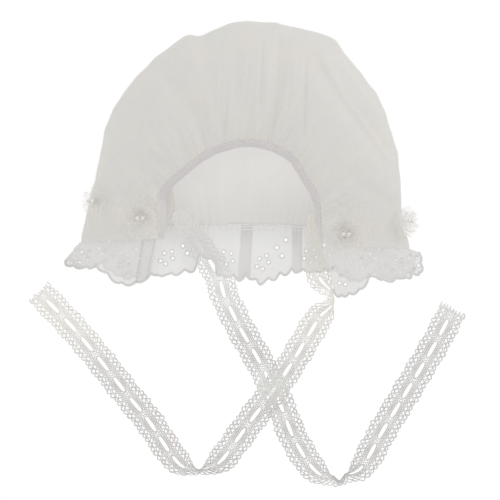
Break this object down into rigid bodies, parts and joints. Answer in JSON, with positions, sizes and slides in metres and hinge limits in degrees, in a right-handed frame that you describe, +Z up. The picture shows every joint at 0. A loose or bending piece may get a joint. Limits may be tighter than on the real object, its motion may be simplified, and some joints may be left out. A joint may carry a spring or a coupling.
{
  "type": "baby's gathered bonnet with lace ties",
  "caption": "Gathered cotton and organza baby bonnet laid flat, nape up, with a shirred nape arch, scalloped eyelet frill, frayed organza flowers with pearls and lace ribbon ties.",
  "frame": {"origin": "on the surface that the bonnet lies on, under the middle of the whole thing with its ties", "axes": "+X to the right seen from above, +Y from the face opening to the back of the crown, +Z up from the surface"},
  "size_m": [0.2822, 0.3044, 0.0416],
  "materials": {
    "crown_cloth": "fine white cotton batiste under sheer organza, softly gathered",
    "nape_casing": "narrow cotton casing, closely shirred over elastic",
    "eyelet_cotton": "sheer white cotton lawn with satin-stitched eyelets and scallops",
    "tie_lace": "matte white cotton torchon lace",
    "flower_organza": "sheer frayed organza with a faint sheen",
    "pearl": "small lustrous imitation pearls"
  },
  "bodies": {
    "root": {"crown": "crown_cloth", "crown_under": "crown_cloth", "nape_band": "nape_casing", "ruffle_left": "eyelet_cotton", "ruffle_far": "eyelet_cotton", "ruffle_right": "eyelet_cotton", "tie_left": "tie_lace", "tie_right": "tie_lace", "flower_left": "flower_organza", "flower_right": "flower_organza", "flower_edge_left": "flower_organza", "flower_edge_right": "flower_organza", "pearl_left_1": "pearl", "pearl_left_2": "pearl", "pearl_right_1": "pearl", "pearl_right_2": "pearl", "pearl_edge_left_1": "pearl", "pearl_edge_left_2": "pearl", "pearl_edge_right_1": "pearl", "pearl_edge_right_2": "pearl"}
  },
  "joints": []
}
